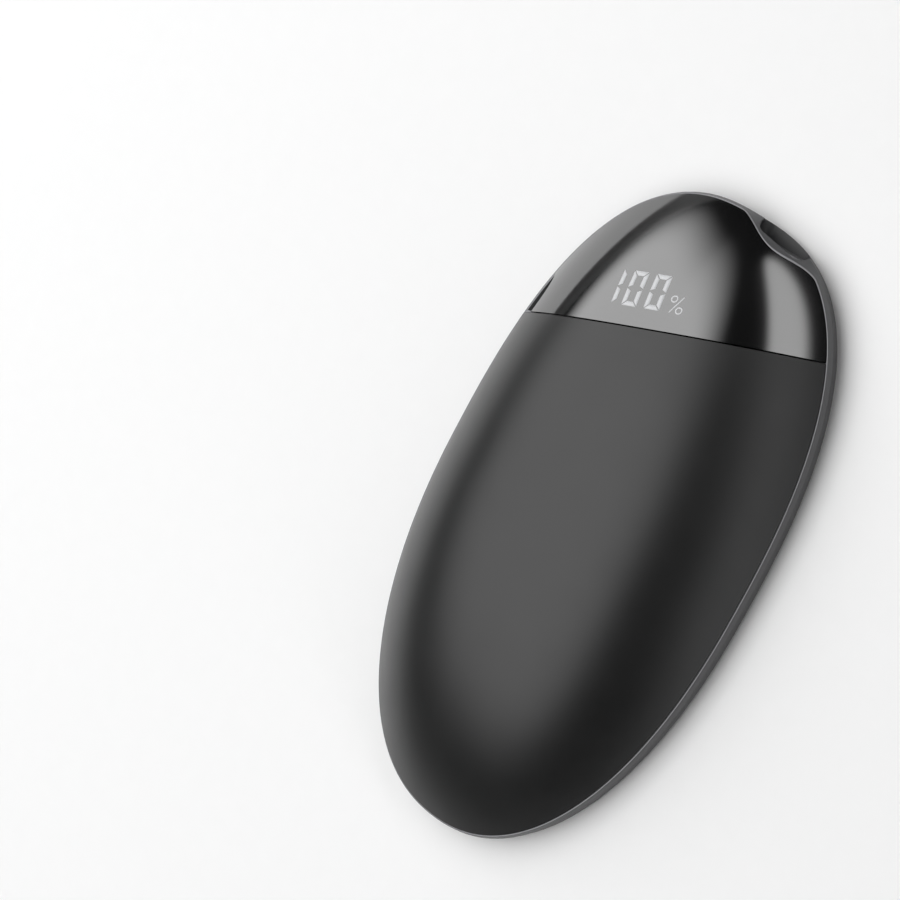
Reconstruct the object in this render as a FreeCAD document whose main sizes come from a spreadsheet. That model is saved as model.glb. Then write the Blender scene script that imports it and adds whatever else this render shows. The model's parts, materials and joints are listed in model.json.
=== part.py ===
import FreeCAD
import Part
import Sketcher
import math
import os
import re

# Rechargeable hand warmer: a domed front shell in two finishes on a grey band and a flat back.
# Millimetres. Z up out of the display face, Y towards the display end, X towards the port side,
# origin at the bottom centre of the flat back.

SIZES = {
    # outline at the parting plane, and the dome above it
    "body_length": 100.0,
    "body_width": 55.2,
    "dome_height": 13.6,
    "shell_side_wall": 2.2,
    "shell_top_wall": 1.8,
    # slanted joint between the glossy window and the matte cover
    "joint_to_tip": 20.0,
    "joint_angle": 20.0,
    "joint_gap": 0.14,
    # grey band and back cover
    "band_height": 1.1,
    "band_wall": 2.2,
    "band_flare": 0.4,
    "back_edge_height": 3.1,
    "back_thickness": 1.2,
    "back_wall": 2.2,
    "back_step": 0.1,
    "back_round": 1.9,
    # hump of the band around the charging port
    "hump_width": 19.4,
    "hump_rise": 1.6,
    "hump_sink": 0.2,
    "hump_gap": 0.12,
    "hump_depth": 15.0,
    # charging port
    "port_offset": 5.7,
    "port_drop": 1.0,
    "port_setback": 2.0,
    "port_clearance": 0.18,
    "usb_width": 8.94,
    "usb_height": 3.16,
    "usb_depth": 7.3,
    "usb_sheet": 0.3,
    "usb_corner": 1.5,
    "usb_inner_corner": 1.2,
    "usb_leg_length": 2.0,
    "usb_leg_reach": 1.5,
    "tongue_width": 6.7,
    "tongue_thickness": 0.7,
    "tongue_length": 4.4,
    "tongue_block": 2.5,
    "tongue_fit": 0.03,
    "gasket_side": 0.7,
    "gasket_edge": 0.3,
    "gasket_thickness": 0.8,
    "gasket_band_gap": 3.8,
    # power button in the left edge of the window
    "button_setback": 9.4,
    "button_reach": 7.2,
    "button_rise": 3.6,
    "button_clearance": 0.3,
    "button_recess": 0.15,
    "stem_width": 2.4,
    "stem_height": 1.3,
    "stem_lift": 0.6,
    "stem_reach": 9.6,
    "stem_setback": 5.0,
    "plunger_radius": 0.8,
    "plunger_length": 2.0,
    "plunger_clearance": 0.25,
    "switch_depth": 11.0,
    "switch_length": 3.2,
    "switch_width": 2.9,
    "switch_height": 3.2,
    "switch_bore": 1.6,
    # battery cell and what carries it
    "cell_side_room": 1.0,
    "cell_end_room": 2.0,
    "cell_roof_gap": 0.65,
    "cell_corner": 2.5,
    "cell_edge": 1.2,
    "pad_margin": 2.0,
    "pad_thickness": 0.5,
    "tab_width": 4.0,
    "tab_length": 0.8,
    "tab_thickness": 0.3,
    "tab_lift": 3.2,
    "guard_side_room": 5.0,
    "guard_thickness": 0.8,
    "guard_drop": 2.6,
    "guard_lift": 0.4,
    "tray_side_room": 11.5,
    "tray_end_room": 19.3,
    "tray_board_gap": 0.7,
    "tray_clearance": 0.3,
    "tray_wall": 1.4,
    "tray_height": 4.8,
    "tray_corner": 3.0,
    "lug_length": 7.0,
    "lug_reach": 6.0,
    "lug_thickness": 1.2,
    "lug_screw_reach": 3.4,
    # heaters
    "heater_thickness": 0.2,
    "plate_margin": 0.5,
    "plate_thickness": 0.6,
    "front_plate_gap": 0.3,
    "front_plate_wall": 0.8,
    "front_plate_joint_gap": 1.2,
    "front_plate_lift": 0.6,
    "front_film_gap": 0.1,
    "front_film_wall": 0.3,
    "bead_width": 1.6,
    "bead_length": 1.0,
    "bead_height": 0.8,
    "bead_gap": 0.3,
    # main board
    "board_left_room": 10.7,
    "board_right_room": 12.7,
    "board_length": 19.6,
    "board_gasket_gap": 0.2,
    "board_thickness": 1.0,
    "board_lift": 1.4,
    "board_edge_gap": 0.6,
    "chip_width": 5.0,
    "chip_height": 0.9,
    "chip_side_inset": 5.0,
    "chip_inset": 6.6,
    "coil_width": 4.0,
    "coil_height": 2.0,
    "coil_corner": 0.8,
    "coil_side_inset": 2.6,
    "coil_inset": 14.4,
    "transistor_width": 2.0,
    "transistor_length": 1.2,
    "transistor_height": 0.8,
    "transistor_side_inset": 5.0,
    "transistor_inset": 2.4,
    "transistor_pitch": 2.5,
    "capacitor_width": 1.0,
    "capacitor_length": 0.5,
    "capacitor_height": 0.5,
    "capacitor_pitch": 2.0,
    "capacitor_inset": 2.2,
    # display stack, in the slanted frame of the joint
    "display_shift": -1.6,
    "display_rise": 5.6,
    "display_width": 14.6,
    "display_depth": 6.8,
    "display_roof_gap": 0.5,
    "display_wall": 0.8,
    "display_tilt": 19.5,
    "mask_thickness": 0.6,
    "digit_width": 2.4,
    "digit_height": 5.1,
    "digit_pitch": 3.65,
    "bar_width": 0.55,
    "bar_gap": 0.12,
    "percent_width": 2.7,
    "percent_height": 2.1,
    "percent_line": 0.32,
    "percent_ring": 0.55,
    "led_width": 1.0,
    "led_length": 0.6,
    "led_height": 0.5,
    "led_pitch": 2.0,
    # fasteners, posts and magnets
    "screw_radius": 0.8,
    "screw_head_radius": 1.5,
    "screw_head_height": 0.9,
    "screw_clearance": 0.15,
    "screw_grip": 1.0,
    "post_radius": 2.0,
    "board_screw_inset": 2.2,
    "board_screw_far_side": 8.5,
    "board_screw_far_inset": 2.2,
    "magnet_radius": 3.0,
    "magnet_height": 1.6,
    "magnet_clearance": 0.1,
    "magnet_cup_wall": 0.7,
    "magnet_side_room": 6.9,
    "magnet_pitch": 20.0,
    # wires
    "lead_radius": 0.5,
    "lead_spacing": 4.0,
    "lead_inset": 1.0,
    "lead_rise": 0.5,
    "heater_lead_inset": 4.6,
    # every cut runs this far past the faces it opens
    "overrun": 2.0,
}

# Worked out from the sizes above, in the same sheet language.
PLACES = {
    "half_length": "body_length / 2",
    "half_width": "body_width / 2",
    "cutter_span": "body_length + body_width",
    "parting_z": "back_edge_height + band_height",
    "floor_z": "back_thickness",
    "joint_y": "half_length - joint_to_tip",
    # charging port, from the tip of the display end inwards
    "port_z": "parting_z - port_drop",
    "mouth_y": "half_length - port_setback",
    "usb_rear_y": "mouth_y - usb_depth",
    "gasket_y": "half_length - max(band_wall; shell_side_wall) - gasket_band_gap - gasket_thickness",
    # power button, from the joint and the left edge
    "button_y": "joint_y - button_setback",
    "stem_y": "joint_y - stem_setback",
    "stem_end": "half_width - stem_reach",
    "stem_z": "parting_z + stem_lift",
    "press_z": "stem_z + stem_height / 2",
    "switch_face": "half_width - switch_depth",
    # main board, behind the port
    "board_left": "half_width - board_left_room",
    "board_right": "half_width - board_right_room",
    "board_end": "gasket_y - board_gasket_gap",
    "board_start": "board_end - board_length",
    "board_z": "floor_z + board_lift",
    "board_top_z": "board_z + board_thickness",
    "post_height": "board_lift",
    # tray, between the board and the far end, and what lies in it
    "tray_front_y": "board_start - tray_board_gap",
    "tray_rear_y": "tray_end_room - half_length",
    "tray_width": "body_width - 2 * tray_side_room",
    "tray_length": "tray_front_y - tray_rear_y",
    "tray_inner_width": "tray_width - 2 * tray_wall",
    "tray_inner_length": "tray_length - 2 * tray_wall",
    "lug_z": "floor_z + post_height",
    "lug_screw_x": "tray_width / 2 + lug_screw_reach",
    "heater_width": "tray_inner_width - 2 * tray_clearance",
    "heater_length": "tray_inner_length - 2 * tray_clearance",
    "plate_z": "floor_z + heater_thickness",
    "cell_place": "(tray_front_y + tray_rear_y) / 2",
    "cell_width": "heater_width - 2 * cell_side_room",
    "cell_length": "heater_length - 2 * cell_end_room",
    "cell_front_y": "cell_place + cell_length / 2",
    "cell_z": "plate_z + plate_thickness + pad_thickness",
    "cell_height": "film_roof_z - cell_roof_gap - cell_z",
    "guard_width": "cell_width - 2 * guard_side_room",
    "guard_height": "cell_height - guard_lift - guard_drop",
    "guard_z": "cell_z + guard_lift",
    "guard_y": "cell_front_y + tab_length",
    "tab_spacing": "guard_width * tab_place_share",
    # underside of the front heating film above the far corner of the cell
    "film_side_inset": "shell_side_wall + front_plate_gap + front_plate_wall + front_film_gap + front_film_wall",
    "film_top_inset": "film_side_inset - shell_side_wall + shell_top_wall",
    "film_x_share": "(cell_width / 2 - cell_edge) / (half_width - film_side_inset)",
    "film_y_share": "(cell_length / 2 - cell_edge - cell_place) / (half_length - film_side_inset)",
    "film_reach_share": "pow(film_x_share; far_end_power_share) + pow(film_y_share; far_end_power_share)",
    "film_drop_share": "pow(film_reach_share; dome_power_share / far_end_power_share)",
    "film_roof_z": "parting_z + (dome_height - film_top_inset) * (1 - film_drop_share)",
    # magnets and wires
    "magnet_x": "half_width - magnet_side_room",
    "lead_end": "board_start + lead_inset",
    "lead_top": "guard_z + guard_height + lead_rise",
    "heater_lead_spacing": "heater_width - 2 * heater_lead_inset",
}

SHARES = {
    # exponents of the rounded outline at the display end and at the far end, and of the dome's profile
    "display_end_power_share": 2.55,
    "far_end_power_share": 2.17,
    "dome_power_share": 2.92,
    # how far apart the cell's two tabs stand on their board
    "tab_place_share": 0.61,
}
OUTLINE_POINTS = 24
DOME_LEVEL_SHARES = (1.0, 0.93, 0.84, 0.72, 0.57, 0.4, 0.22, 0.1)
BACK_EDGE_SHARES = ((0.0, 1.0), (0.14, 0.45), (0.38, 0.08), (1.0, 0.0))
HUMP_POINTS = 12
CAPACITOR_COUNT = 6
LED_COUNT = 5

doc = FreeCAD.newDocument("hand_warmer")


def fill_sheet(name, rows, prefix):
    sheet = doc.addObject("Spreadsheet::Sheet", name)
    for row, (alias, content) in enumerate(rows.items(), start=1):
        sheet.set("A%d" % row, alias)
        sheet.set("B%d" % row, prefix + content)
        sheet.setAlias("B%d" % row, alias)
    return sheet


def expr(formula):
    """Point each name in a formula at its sheet."""

    def owner(match):
        word = match.group(0)
        if word in SIZES or word in SHARES:
            return "sizes." + word
        if word in PLACES:
            return "places." + word
        return word

    return re.sub(r"[a-z_]+", owner, formula)


sizes = fill_sheet("sizes", {name: str(number) for name, number in {**SIZES, **SHARES}.items()}, "")
places = fill_sheet("places", {name: expr(formula) for name, formula in PLACES.items()}, "=")
doc.recompute()


def size(name):
    sheet = sizes if name in SIZES else places
    return float(sheet.get(name))


def vector(x, y, z):
    return FreeCAD.Vector(x, y, z)


Z_AXIS = vector(0, 0, 1)
FACING_X = FreeCAD.Rotation(vector(1, 1, 1), 120)


def bind(item, **formulas):
    for name, formula in formulas.items():
        item.setExpression(name.replace("__", "."), expr(formula))
    return item


def move(item, x, y, z):
    return bind(item, Placement__Base__x=x, Placement__Base__y=y, Placement__Base__z=z)


def box(name, length, width, height, x, y, z):
    item = doc.addObject("Part::Box", name)
    bind(item, Length=length, Width=width, Height=height)
    return move(item, x, y, z)


def centred_box(name, length, width, height, x, y, z):
    return box(name, length, width, height, "%s - (%s) / 2" % (x, length), "%s - (%s) / 2" % (y, width), z)


def cylinder(name, radius, height, x, y, z):
    item = doc.addObject("Part::Cylinder", name)
    bind(item, Radius=radius, Height=height)
    return move(item, x, y, z)


def pair(kind, name, base, tool):
    item = doc.addObject(kind, name)
    item.Base = base
    item.Tool = tool
    return item


def cut(name, base, tool):
    return pair("Part::Cut", name, base, tool)


def common(name, base, tool):
    return pair("Part::Common", name, base, tool)


def fuse(name, *items):
    item = doc.addObject("Part::MultiFuse", name)
    item.Shapes = list(items)
    return item


def group(name, *items):
    item = doc.addObject("Part::Compound", name)
    item.Links = list(items)
    return item


def round_edges(name, base, radius, direction):
    """Round the straight edges of a box that run along one direction."""
    doc.recompute()
    item = doc.addObject("Part::Fillet", name)
    item.Base = base
    rounded = []
    for number, edge in enumerate(base.Shape.Edges, start=1):
        if edge.tangentAt(edge.FirstParameter).isParallel(direction, math.radians(1)):
            rounded.append((number, size(radius), size(radius)))
    item.Edges = rounded
    return item


def outline_wire(half_width, half_length, z):
    """The body's rounded outline: a superellipse, fuller at the display end."""
    points = []
    for step in range(OUTLINE_POINTS):
        turn = 2 * math.pi * step / OUTLINE_POINTS
        across, along = math.cos(turn), math.sin(turn)
        end = "display_end_power_share" if along >= 0 else "far_end_power_share"
        bend = 2 / SHARES[end]
        x = half_width * math.copysign(abs(across) ** bend, across)
        y = half_length * math.copysign(abs(along) ** bend, along)
        points.append(vector(x, y, z))
    curve = Part.BSplineCurve()
    curve.interpolate(Points=points, PeriodicFlag=True)
    return Part.Wire([curve.toShape()])


def section(name, half_width, half_length, z):
    item = doc.addObject("Part::Feature", name)
    item.Shape = outline_wire(half_width, half_length, z)
    return item


def loft(name, sections, ruled):
    item = doc.addObject("Part::Loft", name)
    item.Sections = sections
    item.Solid = True
    item.Ruled = ruled
    return item


def dome(name, side_inset, top_inset):
    """The domed body above the parting plane, drawn in by a wall at the side and at the top."""
    half_width = size("half_width") - side_inset
    half_length = size("half_length") - side_inset
    height = size("dome_height") - top_inset
    sections = []
    for level, share in enumerate(DOME_LEVEL_SHARES):
        z = size("parting_z") + height * (1 - share ** SHARES["dome_power_share"])
        sections.append(section("%s_level_%d" % (name, level), half_width * share, half_length * share, z))
    return loft(name, sections, False)


def outline_prism(name, outset, low, high):
    """A straight column with the body's outline, moved out or in by one distance."""
    item = doc.addObject("Part::Extrusion", name)
    item.Base = section(name + "_base", size("half_width") + outset, size("half_length") + outset, low)
    item.DirMode = "Custom"
    item.Dir = Z_AXIS
    item.LengthFwd = high - low
    item.Solid = True
    return item


def joint_side(name, side, gap, z):
    """A block that fills one side of the slanted joint: side 1 holds the window, side -1 the cover."""
    item = doc.addObject("Part::Box", name)
    bind(item, Length="cutter_span", Width="cutter_span", Height="cutter_span")
    turn = "joint_angle * 1 deg"
    near = "(%s)" % gap if side > 0 else "(-(%s) - cutter_span)" % gap
    item.Placement = FreeCAD.Placement(vector(0, 0, 0), FreeCAD.Rotation(Z_AXIS, size("joint_angle")))
    return move(
        item,
        "-cutter_span / 2 * cos(%s) - %s * sin(%s)" % (turn, near, turn),
        "joint_y - cutter_span / 2 * sin(%s) + %s * cos(%s)" % (turn, near, turn),
        z,
    )


def hump_prism(name, gap):
    """The hump of the band around the port, as a prism along Y over the display end."""
    half = size("hump_width") / 2 + gap
    foot = size("parting_z") - size("overrun")
    crest = []
    for step in range(HUMP_POINTS + 1):
        share = 2 * step / HUMP_POINTS - 1
        rise = (size("hump_rise") + size("hump_sink") + gap) * (1 + math.cos(math.pi * share)) / 2
        crest.append(vector(half * share, 0, size("parting_z") - size("hump_sink") + rise))
    curve = Part.BSplineCurve()
    curve.interpolate(crest)
    low_left = vector(-half, 0, foot)
    low_right = vector(half, 0, foot)
    edges = [
        curve.toShape(),
        Part.makeLine(crest[-1], low_right),
        Part.makeLine(low_right, low_left),
        Part.makeLine(low_left, crest[0]),
    ]
    profile = doc.addObject("Part::Feature", name + "_profile")
    profile.Shape = Part.Wire(edges)
    move(profile, "port_offset", "half_length + overrun", "0")
    item = doc.addObject("Part::Extrusion", name)
    item.Base = profile
    item.DirMode = "Custom"
    item.Dir = vector(0, -1, 0)
    item.Solid = True
    return bind(item, LengthFwd="hump_depth")


def port_prism(name, width, height, length, y, corner):
    """A rounded bar along Y on the axis of the charging port."""
    bar = box(
        name + "_bar", width, length, height,
        "port_offset - (%s) / 2" % width, y, "port_z - (%s) / 2" % height,
    )
    return round_edges(name, bar, corner, vector(0, 1, 0))


def rectangle_sketch(body, name, width, length, x, y, z):
    """A rectangle centred on its own origin, whose sides follow the sheet."""
    sketch = body.newObject("Sketcher::SketchObject", name)
    plane = [item for item in body.Origin.OriginFeatures if item.Role == "XY_Plane"][0]
    sketch.AttachmentSupport = [(plane, "")]
    sketch.MapMode = "FlatFace"
    corners = [vector(-1, -1, 0), vector(1, -1, 0), vector(1, 1, 0), vector(-1, 1, 0)]
    for start, end in zip(corners, corners[1:] + corners[:1]):
        sketch.addGeometry(Part.LineSegment(start, end))
    for side in range(len(corners)):
        sketch.addConstraint(Sketcher.Constraint("Coincident", side, 2, (side + 1) % len(corners), 1))
    sketch.addConstraint(Sketcher.Constraint("Horizontal", 0))
    sketch.addConstraint(Sketcher.Constraint("Horizontal", 2))
    sketch.addConstraint(Sketcher.Constraint("Vertical", 1))
    sketch.addConstraint(Sketcher.Constraint("Vertical", 3))
    sketch.addConstraint(Sketcher.Constraint("Symmetric", 0, 1, 1, 2, -1, 1))
    across = sketch.addConstraint(Sketcher.Constraint("DistanceX", 0, 1, 0, 2, 1))
    along = sketch.addConstraint(Sketcher.Constraint("DistanceY", 1, 1, 1, 2, 1))
    sketch.renameConstraint(across, "across")
    sketch.renameConstraint(along, "along")
    bind(sketch, Constraints__across=width, Constraints__along=length)
    return bind(
        sketch, AttachmentOffset__Base__x=x, AttachmentOffset__Base__y=y, AttachmentOffset__Base__z=z
    )


def circle_sketch(body, name, radius, x, y, z):
    """A circle on its own origin, whose radius follows the sheet."""
    sketch = body.newObject("Sketcher::SketchObject", name)
    plane = [item for item in body.Origin.OriginFeatures if item.Role == "XY_Plane"][0]
    sketch.AttachmentSupport = [(plane, "")]
    sketch.MapMode = "FlatFace"
    sketch.addGeometry(Part.Circle(vector(0, 0, 0), Z_AXIS, 1))
    sketch.addConstraint(Sketcher.Constraint("Coincident", 0, 3, -1, 1))
    sketch.renameConstraint(sketch.addConstraint(Sketcher.Constraint("Radius", 0, 1)), "radius")
    return bind(
        sketch, Constraints__radius=radius,
        AttachmentOffset__Base__x=x, AttachmentOffset__Base__y=y, AttachmentOffset__Base__z=z
    )


def pad(body, name, sketch, height):
    feature = body.newObject("PartDesign::Pad", name)
    feature.Profile = sketch
    return bind(feature, Length=height)


def pocket(body, name, sketch, depth):
    feature = body.newObject("PartDesign::Pocket", name)
    feature.Profile = sketch
    return bind(feature, Length=depth)


def round_body_edges(body, name, feature, radius, chosen):
    """Round the edges of a body's feature that the chosen test picks out."""
    doc.recompute()
    names = []
    for number, edge in enumerate(feature.Shape.Edges, start=1):
        if chosen(edge):
            names.append("Edge%d" % number)
    fillet = body.newObject("PartDesign::Fillet", name)
    fillet.Base = (feature, names)
    return bind(fillet, Radius=radius)


def is_upright(edge):
    return abs(edge.tangentAt(edge.FirstParameter).z) > math.cos(math.radians(1))


# Front shells, joint and hump
dome_outer = dome("dome_outer", 0, 0)
dome_inner = dome("dome_inner", size("shell_side_wall"), size("shell_top_wall"))
front_shell = cut("front_shell", dome_outer, dome_inner)
hump = hump_prism("hump", 0)
hump_opening = hump_prism("hump_opening", size("hump_gap"))


def button_prism(name, inset):
    """An elliptical bar along X through the left edge, which the power button is cut from."""
    ellipse = doc.addObject("Part::Ellipse", name + "_ellipse")
    bind(ellipse, MajorRadius="button_reach - %s" % inset, MinorRadius="button_rise - %s" % inset)
    ellipse.Placement = FreeCAD.Placement(vector(0, 0, 0), FACING_X)
    move(ellipse, "-half_width - overrun", "button_y", "parting_z")
    item = doc.addObject("Part::Extrusion", name)
    item.Base = ellipse
    item.DirMode = "Custom"
    item.Dir = vector(1, 0, 0)
    item.Solid = True
    return bind(item, LengthFwd="half_width + overrun - stem_end")


def make_front_cover():
    side = joint_side("cover_side", -1, "joint_gap / 2", "-overrun")
    return common("front_cover", front_shell, side)


def make_display_window():
    side = joint_side("window_side", 1, "joint_gap / 2", "-overrun")
    blank = common("window_blank", front_shell, side)
    opened = cut("window_at_hump", blank, hump_opening)
    return cut("display_window", opened, button_prism("button_opening", "0"))


def make_mid_band():
    low, high = size("back_edge_height"), size("parting_z")
    outer = loft(
        "band_outer",
        [
            section("band_low", size("half_width") + size("band_flare"),
                    size("half_length") + size("band_flare"), low),
            section("band_high", size("half_width"), size("half_length"), high),
        ],
        True,
    )
    inner = outline_prism("band_inner", -size("band_wall"), low - size("overrun"), high + size("overrun"))
    ring = cut("band_ring", outer, inner)
    bulge = common("band_bulge", front_shell, hump)
    return cut("mid_band", fuse("band_blank", ring, bulge), port_hole)


def make_back_cover():
    outset = size("band_flare") - size("back_step")
    edge = []
    for level, (rise_share, inset_share) in enumerate(BACK_EDGE_SHARES):
        reach = outset - size("back_round") * inset_share
        edge.append(
            section("back_edge_%d" % level, size("half_width") + reach, size("half_length") + reach,
                    size("back_edge_height") * rise_share)
        )
    outer = loft("back_outer", edge, False)
    inner = outline_prism(
        "back_inner", outset - size("back_wall"), size("floor_z"), size("back_edge_height") + size("overrun")
    )
    tray = cut("back_tray", outer, inner)
    added = [tray]
    for name, x, y in SCREW_PLACES:
        post = cylinder("post_" + name, "post_radius", "post_height", x, y, "floor_z")
        hole = cylinder("post_hole_" + name, "screw_radius", "screw_grip + overrun", x, y,
                        "floor_z + post_height - screw_grip")
        added.append(cut("bored_post_" + name, post, hole))
    for name, x, y in MAGNET_PLACES:
        cup = cylinder("cup_" + name, "magnet_radius + magnet_clearance + magnet_cup_wall", "magnet_height",
                       x, y, "floor_z")
        room = cylinder("cup_room_" + name, "magnet_radius + magnet_clearance", "magnet_height + overrun",
                        x, y, "floor_z")
        added.append(cut("ring_" + name, cup, room))
    return cut("back_cover", fuse("back_blank", *added), port_hole)


# Fasteners and magnets stand at these places
SCREW_PLACES = (
    ("tray_left", "-lug_screw_x", "cell_place"),
    ("tray_right", "lug_screw_x", "cell_place"),
    ("board_near", "board_right - board_screw_inset", "board_start + board_screw_inset"),
    ("board_far", "-board_screw_far_side", "board_end - board_screw_far_inset"),
)
MAGNET_PLACES = (
    ("left_near", "-magnet_x", "cell_place + magnet_pitch / 2"),
    ("right_near", "magnet_x", "cell_place + magnet_pitch / 2"),
    ("left_far", "-magnet_x", "cell_place - magnet_pitch / 2"),
    ("right_far", "magnet_x", "cell_place - magnet_pitch / 2"),
)

port_hole = port_prism(
    "port_hole", "usb_width + 2 * port_clearance", "usb_height + 2 * port_clearance",
    "port_setback + overrun + usb_depth", "usb_rear_y", "usb_corner",
)

make_front_cover()
make_display_window()
make_mid_band()
make_back_cover()


# Power button, its plunger and the switch behind it
def make_power_button():
    rim = dome("button_rim", size("button_recess"), size("button_recess"))
    skin = cut("button_skin", rim, dome_inner)
    blank = common("button_blank", skin, button_prism("button_bar", "button_clearance"))
    side = joint_side("button_side", 1, "joint_gap / 2 + button_clearance", "parting_z + button_clearance")
    cap = common("button_cap", blank, side)
    stem = box("button_stem_bar", "half_width - stem_end", "stem_width", "stem_height",
               "-half_width", "stem_y - stem_width / 2", "stem_z")
    stem = common("button_stem", stem, rim)
    return fuse("power_button", cap, stem)


def make_switch():
    bar = cylinder("switch_plunger", "plunger_radius", "plunger_length", "-stem_end", "stem_y", "press_z")
    bar.Placement = FreeCAD.Placement(vector(0, 0, 0), FACING_X)
    case = box("switch_case", "switch_length", "switch_width", "switch_height",
               "-switch_face", "stem_y - switch_width / 2", "board_top_z")
    bore = cylinder("switch_bore_bar", "plunger_radius + plunger_clearance", "switch_bore + overrun",
                    "-switch_face - overrun", "stem_y", "press_z")
    bore.Placement = FreeCAD.Placement(vector(0, 0, 0), FACING_X)
    return cut("switch_body", case, bore)


make_power_button()
make_switch()


# Charging port
def make_usb_socket():
    outer = port_prism("usb_outer", "usb_width", "usb_height", "usb_depth", "usb_rear_y", "usb_corner")
    inner_width, inner_height = "usb_width - 2 * usb_sheet", "usb_height - 2 * usb_sheet"
    inner_bar = box(
        "usb_inner_bar", inner_width, "usb_depth + 2 * overrun", inner_height,
        "port_offset - (%s) / 2" % inner_width, "usb_rear_y - overrun", "port_z - (%s) / 2" % inner_height,
    )
    inner = round_edges("usb_inner", inner_bar, "usb_inner_corner", vector(0, 1, 0))
    sleeve = cut("usb_sleeve", outer, inner)
    legs = []
    for name, side in (("left", -1), ("right", 1)):
        near = "usb_width / 2 - usb_sheet" if side > 0 else "-usb_width / 2 + usb_sheet - usb_leg_reach"
        legs.append(box("usb_leg_" + name, "usb_leg_reach", "usb_leg_length", "usb_sheet",
                        "port_offset + " + near, "usb_rear_y + usb_sheet", "board_top_z"))
    return fuse("usb_c_shell", sleeve, *legs)


def make_usb_tongue():
    width = "usb_width - 2 * usb_sheet - 2 * tongue_fit"
    height = "usb_height - 2 * usb_sheet - 2 * tongue_fit"
    block = port_prism("usb_block", width, height, "tongue_block", "usb_rear_y", "usb_inner_corner")
    blade = box("usb_blade", "tongue_width", "tongue_length", "tongue_thickness",
                "port_offset - tongue_width / 2", "usb_rear_y + tongue_block",
                "port_z - tongue_thickness / 2")
    return fuse("usb_c_tongue", block, blade)


def make_port_gasket():
    width, height = "usb_width + 2 * gasket_side", "usb_height + 2 * gasket_edge"
    outer = port_prism("gasket_outer", width, height, "gasket_thickness", "gasket_y", "usb_corner")
    hole = port_prism("gasket_hole", "usb_width", "usb_height", "gasket_thickness + 2 * overrun",
                      "gasket_y - overrun", "usb_corner")
    return cut("port_gasket", outer, hole)


make_usb_socket()
make_usb_tongue()
make_port_gasket()


# Back heater, spreader, cell and tray
centred_box("back_heater", "heater_width", "heater_length", "heater_thickness", "0", "cell_place", "floor_z")
centred_box("back_heat_plate", "heater_width - 2 * plate_margin", "heater_length - 2 * plate_margin",
            "plate_thickness", "0", "cell_place", "plate_z")
centred_box("battery_pad", "cell_width - 2 * pad_margin", "cell_length - 2 * pad_margin", "pad_thickness",
            "0", "cell_place", "cell_z - pad_thickness")


def make_battery_cell():
    body = doc.addObject("PartDesign::Body", "battery_cell")
    sketch = rectangle_sketch(body, "cell_sketch", "cell_width", "cell_length", "0", "cell_place", "cell_z")
    block = pad(body, "cell_block", sketch, "cell_height")
    corners = round_body_edges(body, "cell_corners", block, "cell_corner", is_upright)

    def is_rim(edge):
        return abs(edge.BoundBox.ZMax - edge.BoundBox.ZMin) < size("cell_edge") / 2

    round_body_edges(body, "cell_rims", corners, "cell_edge", is_rim)


def make_cell_tray():
    body = doc.addObject("PartDesign::Body", "cell_tray")
    base = rectangle_sketch(body, "tray_sketch", "tray_width", "tray_length", "0", "cell_place", "floor_z")
    wall = pad(body, "tray_wall_block", base, "tray_height")
    corners = round_body_edges(body, "tray_corners", wall, "tray_corner", is_upright)
    lugs = rectangle_sketch(body, "lug_sketch", "tray_width + 2 * lug_reach", "lug_length", "0", "cell_place",
                            "lug_z")
    pad(body, "tray_lugs", lugs, "lug_thickness")
    room = rectangle_sketch(body, "room_sketch", "tray_inner_width", "tray_inner_length", "0", "cell_place",
                            "floor_z + tray_height")
    pocket(body, "tray_room", room, "tray_height + overrun")
    for name, x in (("left", "-lug_screw_x"), ("right", "lug_screw_x")):
        hole = circle_sketch(body, "lug_hole_sketch_" + name, "screw_radius + screw_clearance", x,
                             "cell_place", "lug_z + lug_thickness")
        pocket(body, "lug_hole_" + name, hole, "lug_thickness + overrun")


def make_cell_fittings():
    tabs = []
    for name, side in (("left", -1), ("right", 1)):
        tabs.append(centred_box("tab_" + name, "tab_width", "tab_length", "tab_thickness",
                                "%d * tab_spacing / 2" % side, "cell_front_y + tab_length / 2",
                                "cell_z + tab_lift"))
    group("battery_tabs", *tabs)
    centred_box("protection_board", "guard_width", "guard_thickness", "guard_height", "0",
                "guard_y + guard_thickness / 2", "guard_z")
    centred_box("thermistor", "bead_width", "bead_length", "bead_height", "0",
                "cell_place - cell_length / 2 - bead_gap - bead_length / 2", "plate_z + plate_thickness")


make_battery_cell()
make_cell_tray()
make_cell_fittings()


# Front spreader and its heating film, nested under the cover
def make_front_heaters():
    side_inset = size("shell_side_wall") + size("front_plate_gap")
    top_inset = size("shell_top_wall") + size("front_plate_gap")
    wall = size("front_plate_wall")
    outer = dome("plate_outer", side_inset, top_inset)
    inner = dome("plate_inner", side_inset + wall, top_inset + wall)
    shell = cut("plate_shell", outer, inner)
    side = joint_side("plate_side", -1, "front_plate_joint_gap", "parting_z + front_plate_lift")
    common("front_heat_plate", shell, side)
    film_gap = wall + size("front_film_gap")
    film_wall = film_gap + size("front_film_wall")
    film_outer = dome("film_outer", side_inset + film_gap, top_inset + film_gap)
    film_inner = dome("film_inner", side_inset + film_wall, top_inset + film_wall)
    film = cut("film_shell", film_outer, film_inner)
    window = centred_box("film_window", "heater_width", "heater_length - 2 * tray_wall", "cutter_span", "0",
                         "cell_place - tray_wall", "cell_z")
    common("front_heater", film, window)


make_front_heaters()


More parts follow.
